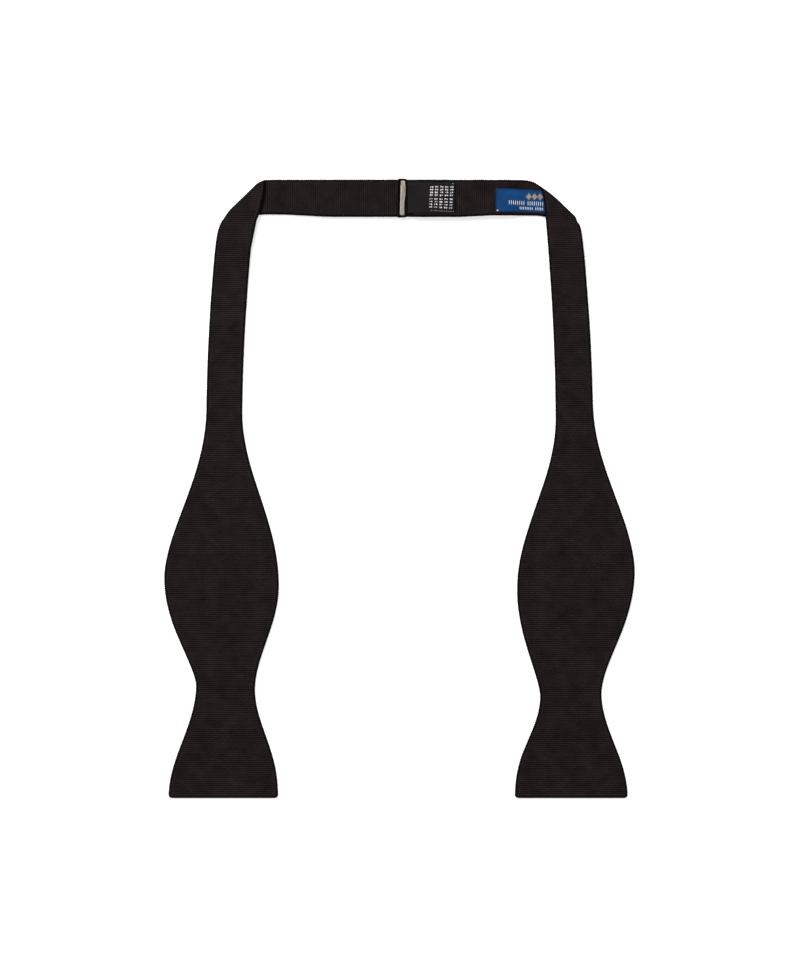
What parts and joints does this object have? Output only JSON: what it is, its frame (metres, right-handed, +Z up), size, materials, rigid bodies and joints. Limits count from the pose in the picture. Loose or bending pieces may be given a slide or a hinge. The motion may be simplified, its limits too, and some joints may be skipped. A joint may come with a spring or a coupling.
{
  "type": "bow tie",
  "caption": "Self-tie bow tie laid flat: neckband with an adjuster slide, folded over at two corners, and two blades with a waist and a square end.",
  "frame": {"origin": "On the surface the tie lies on, under the middle of its outline", "axes": "+X from the left blade to the right blade, along the neckband; +Y from the blade ends to the neckband; +Z up, towards the blades' front side"},
  "size_m": [0.2588, 0.3414, 0.0034],
  "materials": {
    "silk": "near-black ribbed silk, ribs across the band, low sheen",
    "interlining": "unbleached woven canvas",
    "slide_black": "gloss black enamel",
    "slide_bright": "worn nickel plate, satin",
    "care_satin": "smooth black satin ribbon with pale printed marks",
    "woven_blue": "deep blue damask-woven label with pale and gold threads",
    "thread": "pale sewing thread"
  },
  "bodies": {
    "left_neckband": {"left_band_front": "silk", "left_band_interlining": "interlining", "left_band_back": "silk", "left_tail_hem": "silk", "left_corner_roll": "silk"},
    "left_blade": {"left_blade_front": "silk", "left_blade_interlining": "interlining", "left_blade_back": "silk"},
    "left_tip": {"left_tip_front": "silk", "left_tip_interlining": "interlining", "left_tip_back": "silk"},
    "right_neckband": {"right_band_front": "silk", "right_band_interlining": "interlining", "right_band_back": "silk", "right_end_loop": "silk", "right_corner_roll": "silk", "slide_frame": "slide_black", "slide_sleeve": "slide_bright", "care_label": "care_satin", "care_label_tack": "thread", "maker_label": "woven_blue", "maker_label_tack": "thread"},
    "right_blade": {"right_blade_front": "silk", "right_blade_interlining": "interlining", "right_blade_back": "silk", "maker_label_end": "woven_blue"},
    "right_tip": {"right_tip_front": "silk", "right_tip_interlining": "interlining", "right_tip_back": "silk"}
  },
  "joints": [
    {"name": "adjuster_slide", "type": "slide", "parent": "left_neckband", "child": "right_neckband", "axis": [-1, 0, 0], "range_m": [-0.014, 0.028]},
    {"name": "left_corner_fold", "type": "hinge", "parent": "left_neckband", "child": "left_blade", "pos_m": [-0.0845, 0.15995, 0.0015], "axis": [-0.7193, -0.6947, 0], "range_deg": [0, 180]},
    {"name": "left_tip_fold", "type": "hinge", "parent": "left_blade", "child": "left_tip", "pos_m": [-0.0966, -0.0527, 0.00135], "axis": [-1, 0, 0], "range_deg": [0, 175]},
    {"name": "right_corner_fold", "type": "hinge", "parent": "right_neckband", "child": "right_blade", "pos_m": [0.0845, 0.15995, 0.0015], "axis": [-0.7193, 0.6947, 0], "range_deg": [0, 180]},
    {"name": "right_tip_fold", "type": "hinge", "parent": "right_blade", "child": "right_tip", "pos_m": [0.0957, -0.0527, 0.00135], "axis": [-1, 0, 0], "range_deg": [0, 175]}
  ]
}
